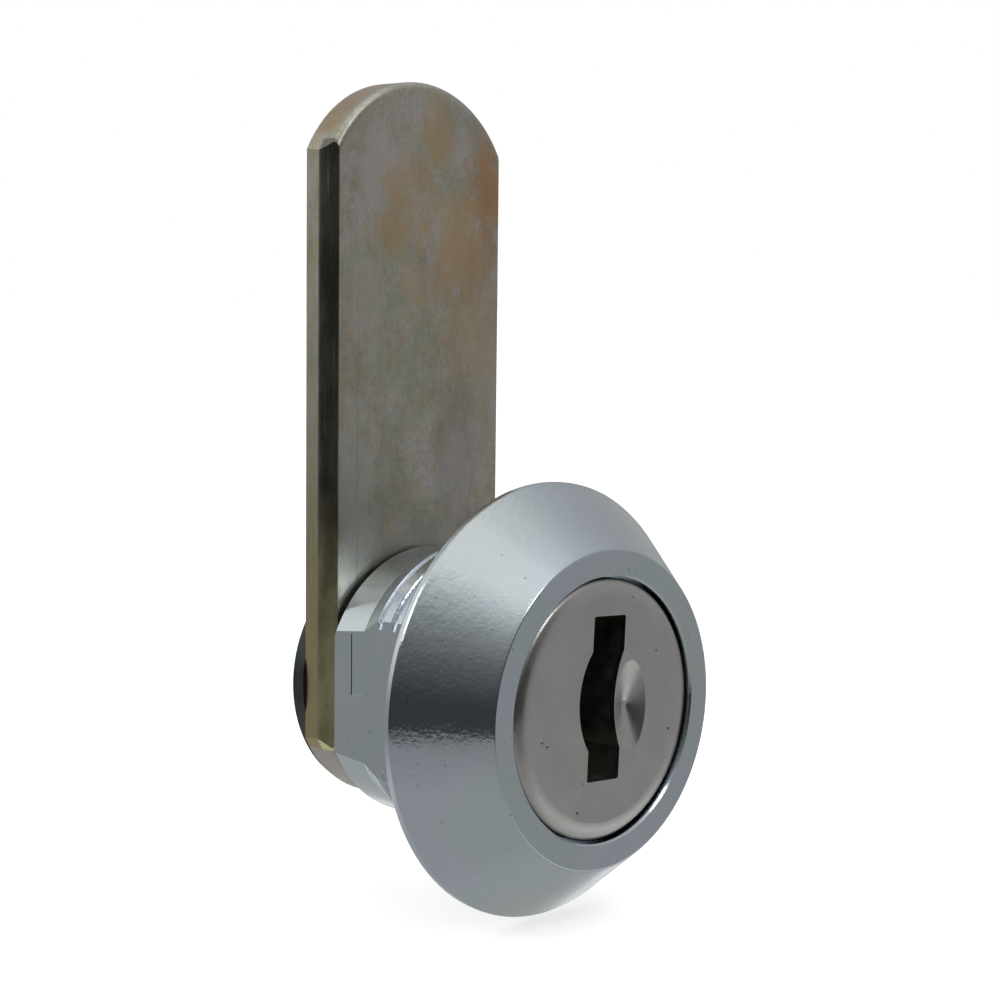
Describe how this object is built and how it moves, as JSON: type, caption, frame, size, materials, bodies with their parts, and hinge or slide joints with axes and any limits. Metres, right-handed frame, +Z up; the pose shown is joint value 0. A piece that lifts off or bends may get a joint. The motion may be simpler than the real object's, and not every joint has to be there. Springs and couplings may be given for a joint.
{
  "type": "cam lock",
  "caption": "Cam lock with a conical chromed head, a dished face cap with a bowed key slot, a threaded body with flats, and a long straight cam behind.",
  "frame": {"origin": "on the lock's axis, in the plane of the head's rear face, which seats on the panel", "axes": "+Y along the lock's axis from the front to the rear, +Z up along the cam at rest, +X to the right seen from the front"},
  "size_m": [0.028, 0.0238, 0.0538],
  "materials": {
    "chromed_zinc": "chromed die-cast zinc",
    "zinc": "dull die-cast zinc",
    "satin_steel": "satin stainless sheet",
    "brass": "blanked brass",
    "spring_steel": "drawn wire",
    "passivated_steel": "zinc plate with a yellowish passivation",
    "black_steel": "blackened",
    "bright_steel": "bright zinc plate"
  },
  "bodies": {
    "housing": {"housing": "chromed_zinc"},
    "plug": {"plug": "zinc", "face_cap": "satin_steel", "wafer_spring_1": "spring_steel", "wafer_spring_2": "spring_steel", "wafer_spring_3": "spring_steel", "wafer_spring_4": "spring_steel", "wafer_spring_5": "spring_steel", "retainer_spring": "spring_steel", "cam": "passivated_steel", "cam_washer": "black_steel", "spring_washer": "bright_steel", "cam_screw": "bright_steel"},
    "wafer_1": {"wafer_1": "brass"},
    "wafer_2": {"wafer_2": "brass"},
    "wafer_3": {"wafer_3": "brass"},
    "wafer_4": {"wafer_4": "brass"},
    "wafer_5": {"wafer_5": "brass"},
    "retainer": {"retainer_wafer": "brass"}
  },
  "joints": [
    {"name": "plug_turn", "type": "hinge", "parent": "housing", "child": "plug", "pos_m": [0, 0, 0], "axis": [0, 1, 0], "range_deg": [0, 90]},
    {"name": "wafer_slide_1", "type": "slide", "parent": "plug", "child": "wafer_1", "axis": [0, 0, 1], "range_m": [0, 0.0007], "stiffness_N_per_m": 100, "deforming": ["wafer_spring_1"]},
    {"name": "wafer_slide_2", "type": "slide", "parent": "plug", "child": "wafer_2", "axis": [0, 0, -1], "range_m": [0, 0.0007], "stiffness_N_per_m": 100, "deforming": ["wafer_spring_2"]},
    {"name": "wafer_slide_3", "type": "slide", "parent": "plug", "child": "wafer_3", "axis": [0, 0, 1], "range_m": [0, 0.0007], "stiffness_N_per_m": 100, "deforming": ["wafer_spring_3"]},
    {"name": "wafer_slide_4", "type": "slide", "parent": "plug", "child": "wafer_4", "axis": [0, 0, -1], "range_m": [0, 0.0007], "stiffness_N_per_m": 100, "deforming": ["wafer_spring_4"]},
    {"name": "wafer_slide_5", "type": "slide", "parent": "plug", "child": "wafer_5", "axis": [0, 0, 1], "range_m": [0, 0.0007], "stiffness_N_per_m": 100, "deforming": ["wafer_spring_5"]},
    {"name": "retainer_slide", "type": "slide", "parent": "plug", "child": "retainer", "axis": [0, 0, -1], "range_m": [0, 0.0009], "stiffness_N_per_m": 100, "deforming": ["retainer_spring"]}
  ],
  "couplings": [
    {"joint": "wafer_slide_2", "follows": "wafer_slide_1", "ratio": 1},
    {"joint": "wafer_slide_3", "follows": "wafer_slide_1", "ratio": 1},
    {"joint": "wafer_slide_4", "follows": "wafer_slide_1", "ratio": 1},
    {"joint": "wafer_slide_5", "follows": "wafer_slide_1", "ratio": 1}
  ]
}
